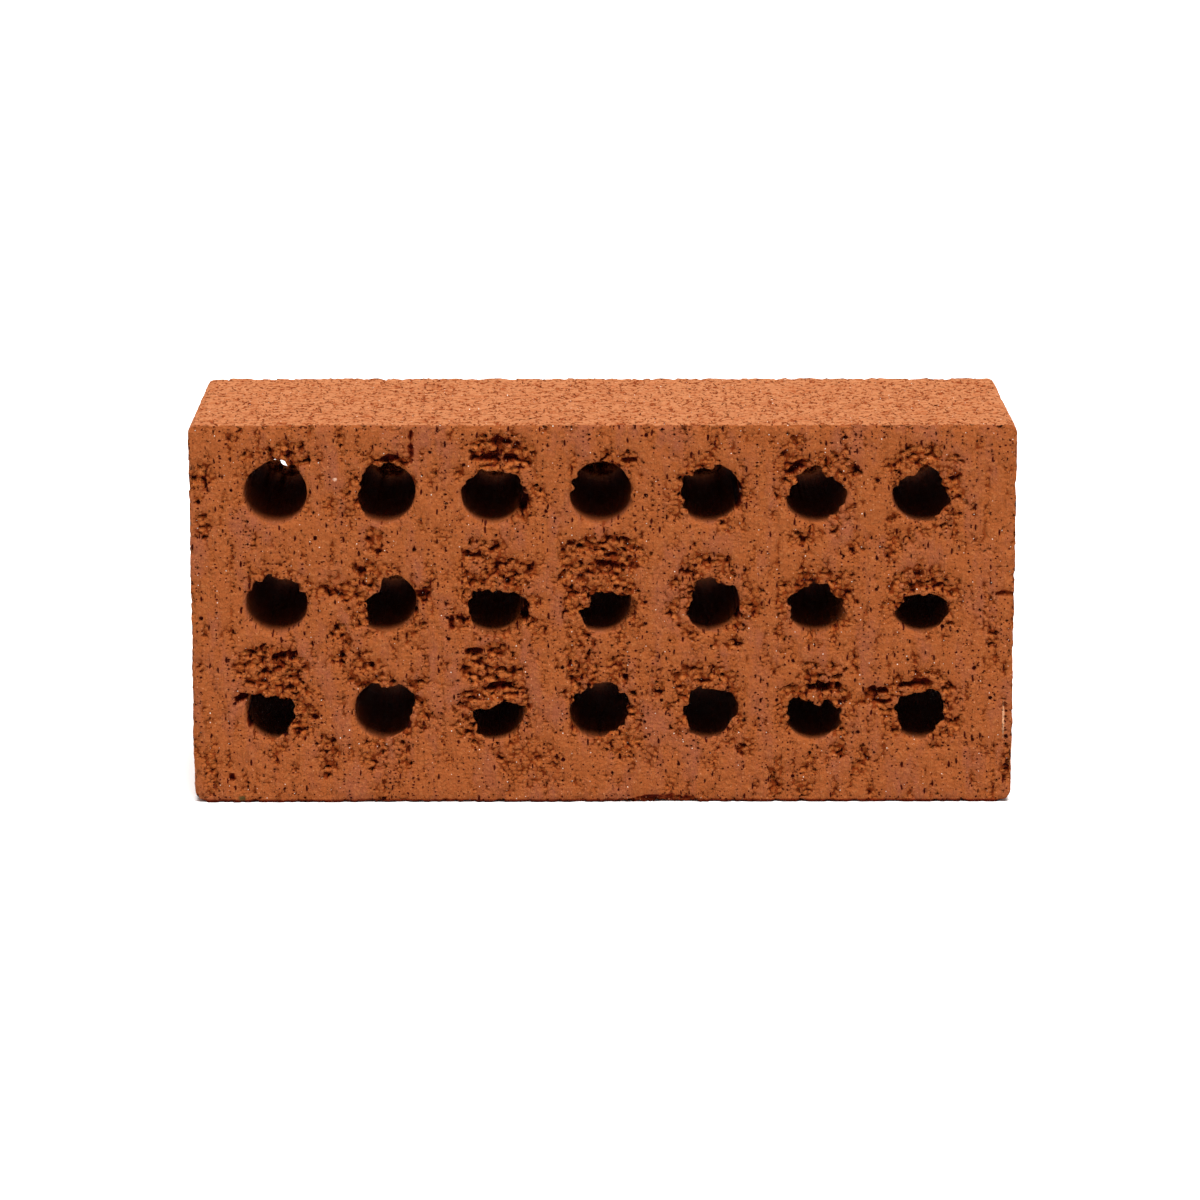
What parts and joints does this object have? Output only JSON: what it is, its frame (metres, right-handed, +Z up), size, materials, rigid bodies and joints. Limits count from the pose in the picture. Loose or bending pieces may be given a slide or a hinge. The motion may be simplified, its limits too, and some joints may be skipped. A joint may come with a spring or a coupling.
{
  "type": "cored clay brick",
  "caption": "Fired clay brick with rounded long edges and a grid of round through cores in its two torn, wire-cut bed faces.",
  "frame": {"origin": "middle of the foot, the stretcher face that the brick stands on", "axes": "+X along the length, from header face to header face; +Z up, across the bed; +Y from the front bed face to the back one, along the cores"},
  "size_m": [0.23, 0.076, 0.108],
  "materials": {
    "fired_clay": "unglazed fired red clay, matt and open-pored, torn by the cutting wire on the bed faces and drag-textured on the stretcher and header faces"
  },
  "bodies": {
    "root": {"brick": "fired_clay"}
  },
  "joints": []
}
